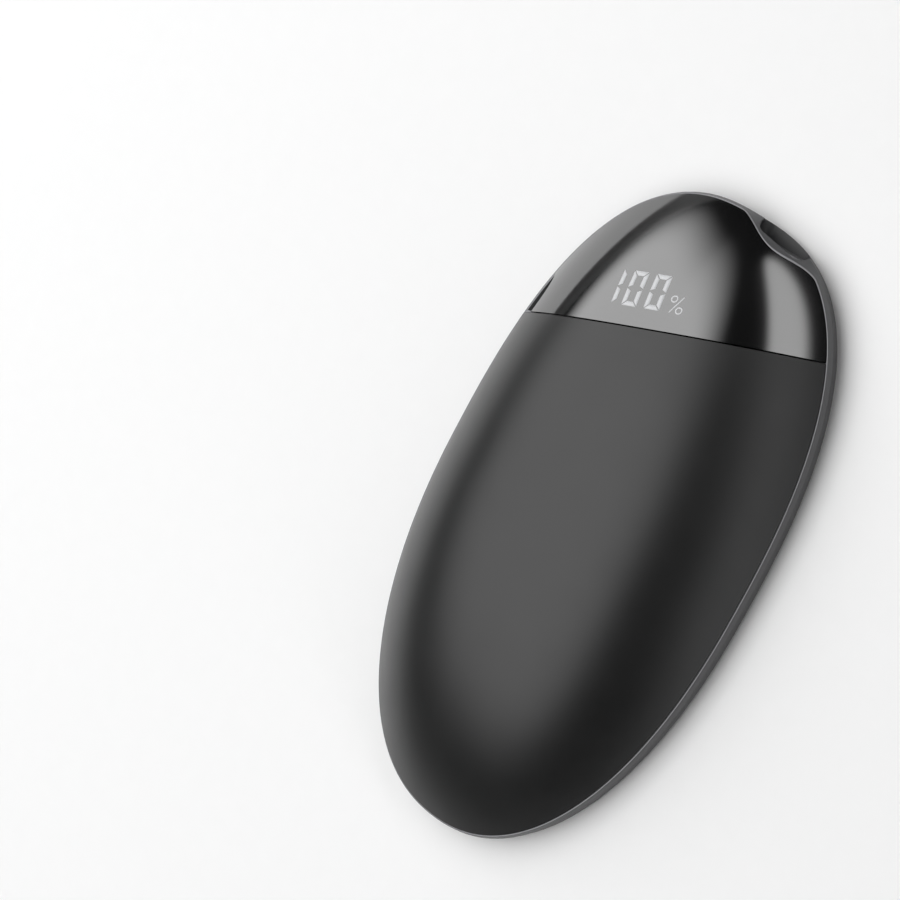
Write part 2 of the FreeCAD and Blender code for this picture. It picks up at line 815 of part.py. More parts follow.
# Main board and what is soldered to it
def make_main_board():
    blank = box("board_blank", "board_left + board_right", "board_end - board_start", "board_thickness",
                "-board_left", "board_start", "board_z")
    case = outline_prism("board_limit", -size("band_wall") - size("board_edge_gap"),
                         size("board_z") - size("overrun"), size("board_top_z") + size("overrun"))
    shaped = common("board_shaped", blank, case)
    width = "usb_width + 2 * port_clearance"
    notch = box("board_notch", width, "board_end - usb_rear_y + port_clearance + overrun",
                "board_thickness + 2 * overrun", "port_offset - (%s) / 2" % width,
                "usb_rear_y - port_clearance", "board_z - overrun")
    holes = [notch]
    for name, x, y in SCREW_PLACES[2:]:
        holes.append(cylinder("board_hole_" + name, "screw_radius + screw_clearance",
                              "board_thickness + 2 * overrun", x, y, "board_z - overrun"))
    cut("main_board", shaped, fuse("board_cuts", *holes))


def make_board_parts():
    centred_box("controller_chip", "chip_width", "chip_width", "chip_height",
                "board_right - chip_side_inset", "board_start + chip_inset", "board_top_z")
    coil = centred_box("coil_block", "coil_width", "coil_width", "coil_height",
                       "board_right - coil_side_inset", "board_start + coil_inset", "board_top_z")
    round_edges("power_inductor", coil, "coil_corner", Z_AXIS)
    transistors = []
    for step in range(2):
        transistors.append(centred_box("transistor_%d" % step, "transistor_width", "transistor_length",
                                       "transistor_height", "transistor_side_inset - board_left",
                                       "board_start + transistor_inset + %d * transistor_pitch" % step,
                                       "board_top_z"))
    group("charge_transistors", *transistors)
    capacitors = []
    for step in range(CAPACITOR_COUNT):
        shift = step - (CAPACITOR_COUNT - 1) / 2
        capacitors.append(centred_box("capacitor_%d" % step, "capacitor_width", "capacitor_length",
                                      "capacitor_height", "%s * capacitor_pitch" % shift,
                                      "board_start + capacitor_inset", "board_top_z"))
    group("chip_capacitors", *capacitors)


make_main_board()
make_board_parts()


# Display: a light box on the board, a tilted mask and the lit bars in it
def slanted(x, y, z, tilt):
    """A placement in the joint's own frame, tilted back about the joint's direction."""
    turn = FreeCAD.Rotation(Z_AXIS, size("joint_angle"))
    lean = FreeCAD.Rotation(vector(1, 0, 0), -tilt)
    base = vector(0, size("joint_y"), 0) + turn.multVec(vector(x, y, 0))
    return FreeCAD.Placement(base + vector(0, 0, z), turn.multiply(lean))


DISPLAY_X = size("display_shift") - size("display_width") / 2
DISPLAY_Y = size("display_rise") - size("display_depth") / 2


def display_block(name, inset, low, height):
    item = doc.addObject("Part::Box", name)
    bind(item, Length="display_width - 2 * %s" % inset, Width="display_depth - 2 * %s" % inset, Height=height)
    margin = 0 if inset == "0" else size(inset)
    item.Placement = slanted(DISPLAY_X + margin, DISPLAY_Y + margin, low, 0)
    return item


def window_underside(place):
    """Height of the window's inner face above one place."""
    power = SHARES["display_end_power_share"]
    across = abs(place.x) / (size("half_width") - size("shell_side_wall"))
    along = abs(place.y) / (size("half_length") - size("shell_side_wall"))
    drop = (across ** power + along ** power) ** (SHARES["dome_power_share"] / power)
    return size("parting_z") + (size("dome_height") - size("shell_top_wall")) * (1 - drop)


def roof_placement():
    """The tilted top of the light box: its origin is the corner nearest the joint."""
    depth = size("display_depth")
    far_corners = [slanted(DISPLAY_X + x, DISPLAY_Y + depth, 0, 0).Base for x in (0, size("display_width"))]
    far_edge = min(window_underside(corner) for corner in far_corners) - size("display_roof_gap")
    top = far_edge + depth * math.tan(math.radians(size("display_tilt")))
    return slanted(DISPLAY_X, DISPLAY_Y, top - size("mask_thickness"), size("display_tilt"))


def bar_outline(start, end, half):
    """A bar with pointed ends from start to end."""
    along = (end - start).normalize()
    across = vector(-along.y, along.x, 0) * half
    tip = along * half
    points = [start, start + tip + across, end - tip + across, end, end - tip - across, start + tip - across]
    return Part.Face(Part.makePolygon(points + points[:1]))


def digit_faces(left, low, marks):
    """Lit bars of one digit: marks names them by place."""
    half = size("bar_width") / 2
    gap = size("bar_gap")
    x = (left + half, left + size("digit_width") - half)
    y = (low + half, low + size("digit_height") / 2, low + size("digit_height") - half)
    bars = {
        "top": (vector(x[0] + gap, y[2], 0), vector(x[1] - gap, y[2], 0)),
        "bottom": (vector(x[0] + gap, y[0], 0), vector(x[1] - gap, y[0], 0)),
        "upper_left": (vector(x[0], y[1] + gap, 0), vector(x[0], y[2] - gap, 0)),
        "lower_left": (vector(x[0], y[0] + gap, 0), vector(x[0], y[1] - gap, 0)),
        "upper_right": (vector(x[1], y[1] + gap, 0), vector(x[1], y[2] - gap, 0)),
        "lower_right": (vector(x[1], y[0] + gap, 0), vector(x[1], y[1] - gap, 0)),
    }
    return [bar_outline(*bars[mark], half) for mark in marks]


def percent_faces(left, low):
    """A slash between two dots."""
    line = size("percent_line")
    ring = size("percent_ring")
    width = size("percent_width")
    height = size("percent_height")
    start = vector(left + ring, low, 0)
    end = vector(left + width - ring, low + height, 0)
    faces = [bar_outline(start, end, line / 2)]
    for x, y in ((left + ring, low + height - ring), (left + width - ring, low + ring)):
        centre = vector(x, y, 0)
        faces.append(Part.Face(Part.Wire([Part.makeCircle(ring, centre)])))
    return faces


ROUND_DIGIT = ("top", "bottom", "upper_left", "lower_left", "upper_right", "lower_right")
NARROW_DIGIT = ("upper_right", "lower_right")


def make_display():
    block = display_block("display_blank", "0", size("board_top_z"), "dome_height")
    roof = doc.addObject("Part::Box", "display_roof")
    bind(roof, Length="cutter_span", Width="cutter_span", Height="cutter_span")
    roof.Placement = roof_placement().multiply(
        FreeCAD.Placement(vector(-size("cutter_span") / 2, -size("cutter_span") / 2, 0), FreeCAD.Rotation())
    )
    room = display_block("display_room", "display_wall", size("board_top_z") - size("overrun"),
                         "cutter_span")
    wedge = cut("display_wedge", block, roof)
    cut("display_box", wedge, room)

    plate = doc.addObject("Part::Box", "mask_plate")
    bind(plate, Length="display_width", Width="display_depth / cos(display_tilt * 1 deg)",
         Height="mask_thickness")
    plate.Placement = roof_placement()

    slope = math.cos(math.radians(size("display_tilt")))
    word = 3 * size("digit_pitch") + size("percent_width")
    left = (size("display_width") - word) / 2
    low = (size("display_depth") / slope - size("digit_height")) / 2
    faces = digit_faces(left, low, NARROW_DIGIT)
    faces += digit_faces(left + size("digit_pitch"), low, ROUND_DIGIT)
    faces += digit_faces(left + 2 * size("digit_pitch"), low, ROUND_DIGIT)
    faces += percent_faces(left + 3 * size("digit_pitch"), low)
    bars = doc.addObject("Part::Feature", "digit_bars")
    bars.Shape = Part.makeCompound([face.extrude(vector(0, 0, size("mask_thickness"))) for face in faces])
    bars.Placement = roof_placement()
    cut("display_mask", plate, bars)

    leds = []
    for step in range(LED_COUNT):
        shift = (step - (LED_COUNT - 1) / 2) * size("led_pitch")
        led = doc.addObject("Part::Box", "led_%d" % step)
        bind(led, Length="led_width", Width="led_length", Height="led_height")
        led.Placement = slanted(size("display_shift") + shift - size("led_width") / 2,
                                size("display_rise") - size("led_length") / 2, size("board_top_z"), 0)
        leds.append(led)
    group("display_leds", *leds)


make_display()


# Fasteners, magnets and wires
def make_screws(name, chosen, seat):
    screws = []
    for place, x, y in chosen:
        shank = cylinder("shank_" + place, "screw_radius", "%s - floor_z - post_height + screw_grip" % seat,
                         x, y, "floor_z + post_height - screw_grip")
        head = cylinder("head_" + place, "screw_head_radius", "screw_head_height", x, y, seat)
        screws.append(fuse("screw_" + place, shank, head))
    group(name, *screws)


def make_magnets():
    discs = []
    for place, x, y in MAGNET_PLACES:
        discs.append(cylinder("magnet_" + place, "magnet_radius", "magnet_height", x, y, "floor_z"))
    group("back_magnets", *discs)


def lead(name, x, start_y, start_z):
    """A wire that rises from its start, bends over the tray wall and comes down on the board."""
    end_y, top = size("lead_end"), size("lead_top")
    middle = (start_y + end_y) / 2
    bend = (end_y - start_y) / 2
    rise = Part.makeLine(vector(x, start_y, start_z), vector(x, start_y, top))
    arch = Part.Arc(vector(x, start_y, top), vector(x, middle, top + bend), vector(x, end_y, top)).toShape()
    fall = Part.makeLine(vector(x, end_y, top), vector(x, end_y, size("board_top_z")))
    path = Part.Wire([rise, arch, fall])
    ring = Part.Wire([Part.makeCircle(size("lead_radius"), vector(x, start_y, start_z), Z_AXIS)])
    item = doc.addObject("Part::Feature", name)
    item.Shape = path.makePipeShell([ring], True)
    return item


def make_leads():
    guard_y = size("guard_y") + size("guard_thickness") / 2
    guard_top = size("guard_z") + size("guard_height")
    plate_top = size("plate_z") + size("plate_thickness")
    half = size("lead_spacing") / 2
    group("battery_leads", lead("lead_minus", -half, guard_y, guard_top),
          lead("lead_plus", half, guard_y, guard_top))
    half = size("heater_lead_spacing") / 2
    group("heater_leads", lead("heat_lead_left", -half, guard_y, plate_top),
          lead("heat_lead_right", half, guard_y, plate_top))


make_screws("tray_screws", SCREW_PLACES[:2], "lug_z + lug_thickness")
make_screws("board_screws", SCREW_PLACES[2:], "board_top_z")
make_magnets()
make_leads()

NODES = (
    "front_cover", "display_window", "mid_band", "back_cover",
    "power_button", "switch_plunger", "switch_body",
    "usb_c_shell", "usb_c_tongue", "port_gasket",
    "main_board", "controller_chip", "power_inductor", "charge_transistors", "chip_capacitors",
    "display_box", "display_mask", "digit_bars", "display_leds",
    "battery_cell", "battery_pad", "battery_tabs", "protection_board", "cell_tray", "thermistor",
    "back_heater", "back_heat_plate", "front_heater", "front_heat_plate",
    "tray_screws", "board_screws", "back_magnets", "battery_leads", "heater_leads",
)


def write_parts():
    doc.recompute()
    for item in doc.Objects:
        if "Invalid" in item.State or "Error" in item.State:
            raise RuntimeError("%s does not compute: %s" % (item.Label, item.State))
    os.makedirs("parts", exist_ok=True)
    for label in NODES:
        item = doc.getObjectsByLabel(label)[0]
        if item.Shape.isNull() or not item.Shape.isValid():
            raise RuntimeError("%s has no valid shape" % label)
        item.Shape.exportStep("parts/%s.step" % label)


write_parts()
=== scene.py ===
import json
import math

import bpy
from mathutils import Matrix, Vector


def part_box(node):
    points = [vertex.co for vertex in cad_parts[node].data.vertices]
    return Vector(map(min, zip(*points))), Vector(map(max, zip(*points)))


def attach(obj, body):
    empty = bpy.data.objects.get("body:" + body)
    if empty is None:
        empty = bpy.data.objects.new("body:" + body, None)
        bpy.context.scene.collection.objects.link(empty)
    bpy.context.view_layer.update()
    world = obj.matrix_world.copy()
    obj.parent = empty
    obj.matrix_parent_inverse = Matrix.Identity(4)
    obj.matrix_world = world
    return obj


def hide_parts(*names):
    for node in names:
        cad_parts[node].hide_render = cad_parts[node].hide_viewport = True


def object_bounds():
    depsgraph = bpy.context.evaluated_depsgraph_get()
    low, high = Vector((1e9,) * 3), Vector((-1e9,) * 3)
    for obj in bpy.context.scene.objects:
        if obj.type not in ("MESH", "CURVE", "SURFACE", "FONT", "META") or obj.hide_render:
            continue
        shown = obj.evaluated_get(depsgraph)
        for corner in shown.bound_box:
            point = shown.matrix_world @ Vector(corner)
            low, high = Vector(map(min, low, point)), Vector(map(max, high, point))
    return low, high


# Rechargeable hand warmer on a pale studio floor, in metres. The smooth skins of the two shells, the band
# and the back are built here from the same outline and dome as the solids.

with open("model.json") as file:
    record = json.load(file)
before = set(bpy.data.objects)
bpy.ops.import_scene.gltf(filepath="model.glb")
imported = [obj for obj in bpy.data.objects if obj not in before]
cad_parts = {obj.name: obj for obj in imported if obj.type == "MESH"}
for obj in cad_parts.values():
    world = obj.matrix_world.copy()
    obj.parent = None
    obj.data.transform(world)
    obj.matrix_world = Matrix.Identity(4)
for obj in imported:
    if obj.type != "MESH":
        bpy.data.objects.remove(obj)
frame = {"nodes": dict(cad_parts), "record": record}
cad_low, cad_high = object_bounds()

MM = 0.001

# Outline and dome: sizes read from the solids, powers as in the part's source
cover_low, cover_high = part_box("front_cover")
HALF_WIDTH = cover_high.x
HALF_LENGTH = -cover_low.y
PARTING_Z = cover_low.z
DOME_HEIGHT = cover_high.z - cover_low.z
DISPLAY_END_POWER = 2.55
FAR_END_POWER = 2.17
DOME_POWER = 2.92

# Shell walls, joint and edges
SIDE_WALL = 2.2 * MM
TOP_WALL = 1.8 * MM
JOINT_TO_TIP = 20.0 * MM
JOINT_ANGLE = math.radians(20.0)
JOINT_GAP = 0.06 * MM
EDGE_RADIUS = 0.08 * MM
RIM_GAP = 0.05 * MM

# Frame of the slanted joint, in plan
JOINT_ALONG = Vector((math.cos(JOINT_ANGLE), math.sin(JOINT_ANGLE), 0))
JOINT_ACROSS = Vector((-math.sin(JOINT_ANGLE), math.cos(JOINT_ANGLE), 0))
JOINT_MIDDLE = Vector((0, HALF_LENGTH - JOINT_TO_TIP, 0))

# Band
band_low, band_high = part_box("mid_band")
BAND_Z = band_low.z
BAND_FLARE = band_high.x - HALF_WIDTH
BAND_WALL = 2.2 * MM
BAND_LEDGE = 0.14 * MM
BAND_BEVEL = 0.06 * MM
SEAM = 0.04 * MM

# Back cover: its edge is drawn in by shares of the round, at shares of its height, smoothed over the blur
BACK_STEP = 0.1 * MM
BACK_OUTSET = BAND_FLARE - BACK_STEP
BACK_ROUND = 1.9 * MM
BACK_EDGE_SHARES = ((0.0, 1.0), (0.14, 0.45), (0.38, 0.08), (1.0, 0.0))
BACK_BLUR = (-0.12, -0.06, 0.0, 0.06, 0.12)
BACK_WALL = 2.2 * MM
BACK_FLOOR = 1.2 * MM

# Hump of the band around the charging port
PORT_X = 5.7 * MM
PORT_Z = PARTING_Z - 1.0 * MM
PORT_WIDTH = 9.3 * MM
PORT_HEIGHT = 3.52 * MM
PORT_NEAR = 0.8 * HALF_LENGTH
PORT_FAR = 1.2 * HALF_LENGTH
HUMP_WIDTH = 19.4 * MM
HUMP_RISE = 1.6 * MM
HUMP_SINK = 0.2 * MM

# Opening of the power button in the left edge of the window
BUTTON_SETBACK = 9.4 * MM
BUTTON_REACH = 7.2 * MM
BUTTON_RISE = 3.6 * MM

# Lit digits, in the frame of the slanted joint
DIGIT_LOW = 2.87 * MM
DIGIT_HEIGHT = 5.2 * MM
DIGIT_WIDTH = 2.45 * MM
ONE_LEFT = -7.55 * MM
ZERO_LEFTS = (-5.8 * MM, -2.18 * MM)
BAR_WIDTH = 0.66 * MM
BAR_GAP = 0.1 * MM
PERCENT_LEFT = 1.35 * MM
PERCENT_LOW = 2.9 * MM
PERCENT_WIDTH = 2.3 * MM
PERCENT_HEIGHT = 2.45 * MM
RING_RADIUS = 0.44 * MM
LINE_HALF = 0.09 * MM
GLOW_RISE = 0.012 * MM
GLOW_SINK = 0.05 * MM

# Fineness of the meshes, and the bounds within which places and normals are worked out
LEAST_SHARE = 1e-6
RAY_LIMIT = 4 * HALF_LENGTH
RIM_HALVINGS = 50
SHELL_RAYS = 240
SHELL_RINGS = 60
RING_CROWDING = 1.5
EDGE_STEPS = 5
OUTLINE_STEPS = 480
BEVEL_STEPS = 4
FACE_STEPS = 8
BACK_STEPS = 16
PORT_STEPS = 16
BAR_STEPS = 8
RING_STEPS = 24
SHARP_ANGLE = math.radians(35)

# Floor that sweeps up into a low wall
FLOOR_GAP = 0.02 * MM
FLOOR_RADIUS = 1.3
FLOOR_MIDDLE = 0.1 * FLOOR_RADIUS
SWEEP_RADIUS = 0.12
SWEEP_STEPS = 8
WALL_HEIGHT = 0.26
STAGE_TURNS = 128

# Lamps, with their fade at distances from the middle in shares of the lamp's size, and the surround
LAMP_DISTANCE = 0.55
LAMP_MIDDLE = (0.5, 0.5, 0.0)
LAMP_FADE = (0.26, 0.5)
WORLD_GREY = 0.02

# Camera
CAMERA_PLACE = Vector((0.21322, 0.08893, 0.3775))
CAMERA_RIGHT = Vector((0.692, 0.4581, -0.5579)).normalized()
CAMERA_BACK = Vector((0.5294, 0.2034, 0.8236)).normalized()
CAMERA_UP = CAMERA_BACK.cross(CAMERA_RIGHT)
CAMERA_LENS = 121.6
CAMERA_SENSOR = 36.0
CAMERA_NEAR = 0.01
CAMERA_FAR = 50.0

# The common form


def power_at(y):
    """Power of the outline's curve, which is squarer at the display end."""
    return DISPLAY_END_POWER if y >= 0 else FAR_END_POWER


def reach(x, y, inset=0.0):
    """How far out a place lies: 0 at the middle, 1 on the outline drawn in by an inset."""
    power = power_at(y)
    across = (abs(x) / (HALF_WIDTH - inset)) ** power
    along = (abs(y) / (HALF_LENGTH - inset)) ** power
    return (across + along) ** (1 / power)


def dome_z(x, y, inset=0.0, drop=0.0):
    """Height of the dome over a place, drawn in by an inset and lowered by a drop at its top."""
    share = min(reach(x, y, inset), 1.0)
    return PARTING_Z + (DOME_HEIGHT - drop) * (1 - share ** DOME_POWER)


def dome_normal(x, y):
    """Outward normal of the dome's outer face."""
    share = max(reach(x, y), LEAST_SHARE)
    power = power_at(y)
    fall = DOME_HEIGHT * DOME_POWER * share ** (DOME_POWER - power)
    slope_x = fall * math.copysign((abs(x) / HALF_WIDTH) ** (power - 1), x) / HALF_WIDTH
    slope_y = fall * math.copysign((abs(y) / HALF_LENGTH) ** (power - 1), y) / HALF_LENGTH
    return Vector((slope_x, slope_y, 1)).normalized()


def outline(turn, inset=0.0):
    """A place on the outline, moved in by an inset."""
    across, along = math.cos(turn), math.sin(turn)
    bend = 2 / power_at(along)
    x = (HALF_WIDTH - inset) * math.copysign(abs(across) ** bend, across)
    y = (HALF_LENGTH - inset) * math.copysign(abs(along) ** bend, along)
    return x, y


def joint_place(along, across):
    """Plan place from the slanted joint's own frame."""
    return JOINT_MIDDLE + JOINT_ALONG * along + JOINT_ACROSS * across


def hump_rise(x):
    """How far the band's hump stands above the parting plane."""
    share = (x - PORT_X) / (HUMP_WIDTH / 2)
    if abs(share) >= 1:
        return 0.0
    return max((HUMP_RISE + HUMP_SINK) * (1 + math.cos(math.pi * share)) / 2 - HUMP_SINK, 0.0)


def button_rise(y):
    """How far the button's opening stands above the parting plane."""
    share = (y - JOINT_MIDDLE.y + BUTTON_SETBACK) / BUTTON_REACH
    return BUTTON_RISE * math.sqrt(1 - share ** 2) if abs(share) < 1 else 0.0


def rim_share(x, y, side, drop):
    """How far out a shell reaches: less where the band's hump or the button takes its rim."""
    if side < 0 or y < 0:
        return 1.0
    rise = hump_rise(x)
    if x < 0:
        rise = max(rise, button_rise(y))
    return (1 - rise / (DOME_HEIGHT - drop)) ** (1 / DOME_POWER)


def make_object(name, verts, faces, normals=None):
    """A smooth-shaded mesh object, with normals of its own where they are given."""
    mesh = bpy.data.meshes.new(name)
    mesh.from_pydata([tuple(v) for v in verts], [], faces)
    mesh.validate()
    mesh.polygons.foreach_set("use_smooth", [True] * len(mesh.polygons))
    if normals:
        mesh.normals_split_custom_set_from_vertices([tuple(n) for n in normals])
    item = bpy.data.objects.new(name, mesh)
    bpy.context.scene.collection.objects.link(item)
    return item


def dress(item, body, slot, finish, *nodes):
    """Finish a piece, let it ride on a body and stand for CAD nodes."""
    item.data.materials.append(finish)
    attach(item, body)
    if nodes:
        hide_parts(*nodes)


# Domed shells


def ray_length(start, direction, side, inset, drop):
    """Distance from a place to a shell's rim along one direction."""
    near, far = 0.0, RAY_LIMIT
    for _ in range(RIM_HALVINGS):
        middle = (near + far) / 2
        spot = start + direction * middle
        if reach(spot.x, spot.y, inset) < rim_share(spot.x, spot.y, side, drop):
            near = middle
        else:
            far = middle
    return near


def shell_grid(side, inset, drop, edge):
    """Fan of places over one side of the joint, from the joint's middle out to the rim."""
    start = joint_place(0, side * (JOINT_GAP / 2 + edge))
    first = JOINT_ANGLE if side > 0 else JOINT_ANGLE + math.pi
    plan = [start]
    for step in range(SHELL_RAYS + 1):
        turn = first + math.pi * step / SHELL_RAYS
        direction = Vector((math.cos(turn), math.sin(turn), 0))
        length = ray_length(start, direction, side, inset + edge, drop)
        for ring in range(1, SHELL_RINGS + 1):
            share = 1 - (1 - ring / SHELL_RINGS) ** RING_CROWDING
            plan.append(start + direction * length * share)
    return [Vector((spot.x, spot.y, dome_z(spot.x, spot.y, inset, drop))) for spot in plan]


def fan_faces(first, flip):
    """Faces of one fan whose middle is vertex first and whose rows follow it."""

    def at(ray, ring):
        return first + 1 + ray * SHELL_RINGS + ring

    faces = []
    for ray in range(SHELL_RAYS):
        faces.append((first, at(ray, 0), at(ray + 1, 0)))
        for ring in range(SHELL_RINGS - 1):
            faces.append((at(ray, ring), at(ray, ring + 1), at(ray + 1, ring + 1), at(ray + 1, ring)))
    return [face[::-1] for face in faces] if flip else faces


def fan_border(first):
    """Vertex numbers round the fan: in along its first ray, out along its last, back round the rim."""
    rows = first + 1
    inward = [rows + ring for ring in reversed(range(SHELL_RINGS))]
    outward = [rows + SHELL_RAYS * SHELL_RINGS + ring for ring in range(SHELL_RINGS)]
    rim = [rows + ray * SHELL_RINGS + SHELL_RINGS - 1 for ray in reversed(range(1, SHELL_RAYS))]
    return inward + [first] + outward + rim


def ring_faces(upper, lower):
    """Faces between two closed rows of vertices."""
    count = len(upper)
    return [
        (upper[n], lower[n], lower[(n + 1) % count], upper[(n + 1) % count])
        for n in range(count)
    ]


def shell(name, side):
    """A closed domed skin on one side of the joint, with rounded edges."""
    verts = shell_grid(side, 0, 0, EDGE_RADIUS)
    normals = [dome_normal(v.x, v.y) for v in verts]
    faces = fan_faces(0, False)
    border = fan_border(0)
    joint_count = 2 * SHELL_RINGS + 1

    previous = border
    for step in range(1, EDGE_STEPS + 1):
        angle = math.pi / 2 * step / EDGE_STEPS
        row = []
        for place, number in enumerate(border):
            normal = normals[number]
            if place < joint_count:
                out = JOINT_ACROSS * -side
            else:
                out = Vector((normal.x, normal.y, 0))
            out = (out - normal * out.dot(normal)).normalized()
            shift = out * math.sin(angle) - normal * (1 - math.cos(angle))
            row.append(len(verts))
            verts.append(verts[number] + shift * EDGE_RADIUS)
            normals.append(normal * math.cos(angle) + out * math.sin(angle))
        faces += ring_faces(previous, row)
        previous = row

    first = len(verts)
    inner = shell_grid(side, SIDE_WALL, TOP_WALL, EDGE_RADIUS)
    verts += inner
    normals += [-dome_normal(v.x, v.y) for v in inner]
    faces += fan_faces(first, True)
    faces += ring_faces(previous, fan_border(first))
    return make_object(name, verts, faces, normals)


# Band and back, swept round the outline


def sweep(profile):
    """The places of a profile at every turn of the outline, and each turn's vertex numbers."""
    verts, sections = [], []
    for step in range(OUTLINE_STEPS):
        places = profile(2 * math.pi * step / OUTLINE_STEPS)
        sections.append(range(len(verts), len(verts) + len(places)))
        verts += places
    return verts, sections


def band_profile(turn):
    """Section of the band: inner edge, ledge outside the shells' rim (given a painted highlight in the
    band's finish), bevel and flared face.
    """
    x, y = outline(turn)
    flared = outline(turn, -BAND_FLARE)
    rise = hump_rise(x) if y > 0 else 0.0
    share = (1 - rise / DOME_HEIGHT) ** (1 / DOME_POWER)
    outward = Vector((*flared, 0)) - Vector((x, y, 0))
    outward.normalize()
    rim = Vector((x * share, y * share, PARTING_Z + rise - RIM_GAP))
    top = rim + outward * BAND_LEDGE
    low = Vector((*flared, BAND_Z + SEAM))
    fall = (low - top).normalized()
    points = [rim - outward * BAND_WALL]
    for step in range(BEVEL_STEPS + 1):
        angle = math.pi / 2 * step / BEVEL_STEPS
        inward = outward * BAND_BEVEL * (1 - math.sin(angle))
        down = fall * BAND_BEVEL * (1 - math.cos(angle))
        points.append(top - inward + down)
    start = points[-1]
    for step in range(1, FACE_STEPS + 1):
        points.append(start.lerp(low, step / FACE_STEPS))
    points.append(Vector((*outline(turn, BAND_WALL), BAND_Z + SEAM)))
    return points


def band_ring(name):
    """The band: a closed ring with its section at every turn."""
    verts, sections = sweep(band_profile)
    faces = []
    for here, there in zip(sections, sections[1:] + sections[:1]):
        count = len(here)
        for n in range(count):
            m = (n + 1) % count
            faces.append((here[n], here[m], there[m], there[n]))
    return make_object(name, verts, faces)


def back_reach(share):
    """How far the back's edge is drawn in at one share of its height."""
    for (low, inset), (high, next_inset) in zip(BACK_EDGE_SHARES, BACK_EDGE_SHARES[1:]):
        if share <= high:
            part = (share - low) / (high - low)
            return BACK_ROUND * (inset + (next_inset - inset) * part)
    return 0.0


def back_profile(turn):
    """Section of the back: up its drawn-in edge, over its wall and down to its floor."""
    top = BAND_Z - SEAM
    points = []
    for step in range(BACK_STEPS + 1):
        share = step / BACK_STEPS
        insets = [back_reach(min(max(share + shift, 0), 1)) for shift in BACK_BLUR]
        smooth = sum(insets) / len(insets)
        points.append((*outline(turn, smooth - BACK_OUTSET), top * share))
    inner = outline(turn, BACK_WALL - BACK_OUTSET)
    points.append((*inner, top))
    points.append((*inner, BACK_FLOOR))
    return points


def back_tray(name):
    """The back cover: drawn-in edge, flat outside and a floor inside."""
    verts, sections = sweep(back_profile)
    faces = []
    for here, there in zip(sections, sections[1:] + sections[:1]):
        for n in range(len(here) - 1):
            faces.append((here[n], there[n], there[n + 1], here[n + 1]))
    faces.append(tuple(section[0] for section in reversed(sections)))
    faces.append(tuple(section[-1] for section in sections))
    return make_object(name, verts, faces)


def port_cutter():
    """A rounded bar along Y through the hump."""
    radius = PORT_HEIGHT / 2
    loop = []
    for side in (1, -1):
        for step in range(PORT_STEPS + 1):
            angle = -math.pi / 2 + math.pi * step / PORT_STEPS
            x = PORT_X + side * (PORT_WIDTH / 2 - radius + radius * math.cos(angle))
            loop.append((x, PORT_Z + side * radius * math.sin(angle)))
    verts = [Vector((x, y, z)) for y in (PORT_NEAR, PORT_FAR) for x, z in loop]
    count = len(loop)
    faces = [tuple(range(count)), tuple(reversed(range(count, 2 * count)))]
    for n in range(count):
        m = (n + 1) % count
        faces.append((n, n + count, m + count, m))
    return make_object("port_cutter", verts, faces)


def cut_port(item, cutter):
    """Cut the port's opening into a piece."""
    change = item.modifiers.new("port", "BOOLEAN")
    change.operation = "DIFFERENCE"
    change.object = cutter
    change.solver = "EXACT"
    depsgraph = bpy.context.evaluated_depsgraph_get()
    mesh = bpy.data.meshes.new_from_object(item.evaluated_get(depsgraph))
    item.modifiers.clear()
    item.data = mesh
    mesh.set_sharp_from_angle(angle=SHARP_ANGLE)


# Lit digits, laid on the window


def on_window(along, across, rise):
    """A place on the window, or a rise above it."""
    spot = joint_place(along, across)
    normal = dome_normal(spot.x, spot.y)
    return Vector((spot.x, spot.y, dome_z(spot.x, spot.y))) + normal * rise


def lay_strip(verts, faces, left, right):
    """A thin closed strip on the window between two rows of plan places."""
    count = len(left)
    numbers = {}
    for layer, rise in (("top", GLOW_RISE), ("low", -GLOW_SINK)):
        for side, row in (("left", left), ("right", right)):
            for n, (along, across) in enumerate(row):
                numbers[layer, side, n] = len(verts)
                verts.append(on_window(along, across, rise))
    for a in range(count - 1):
        b = a + 1
        faces.append((numbers["top", "left", a], numbers["top", "right", a],
                      numbers["top", "right", b], numbers["top", "left", b]))
        faces.append((numbers["low", "left", b], numbers["low", "right", b],
                      numbers["low", "right", a], numbers["low", "left", a]))
        faces.append((numbers["low", "left", a], numbers["top", "left", a],
                      numbers["top", "left", b], numbers["low", "left", b]))
        faces.append((numbers["low", "right", b], numbers["top", "right", b],
                      numbers["top", "right", a], numbers["low", "right", a]))
    for n, order in ((0, 1), (count - 1, -1)):
        cap = (numbers["low", "left", n], numbers["low", "right", n],
               numbers["top", "right", n], numbers["top", "left", n])
        faces.append(cap[::order])


def lay_bar(verts, faces, outer_start, outer_end, inner_start, inner_end):
    """A bar of a digit, between its outer and its inner edge."""
    outer, inner = [], []
    for step in range(BAR_STEPS + 1):
        share = step / BAR_STEPS
        outer.append(tuple(Vector(outer_start).lerp(Vector(outer_end), share)))
        inner.append(tuple(Vector(inner_start).lerp(Vector(inner_end), share)))
    lay_strip(verts, faces, outer, inner)


def lay_ring(verts, faces, centre):
    """A ring of the percent sign."""
    outer, inner = [], []
    for step in range(RING_STEPS + 1):
        turn = 2 * math.pi * step / RING_STEPS
        aim = Vector((math.cos(turn), math.sin(turn)))
        outer.append(tuple(Vector(centre) + aim * (RING_RADIUS + LINE_HALF)))
        inner.append(tuple(Vector(centre) + aim * (RING_RADIUS - LINE_HALF)))
    lay_strip(verts, faces, inner, outer)


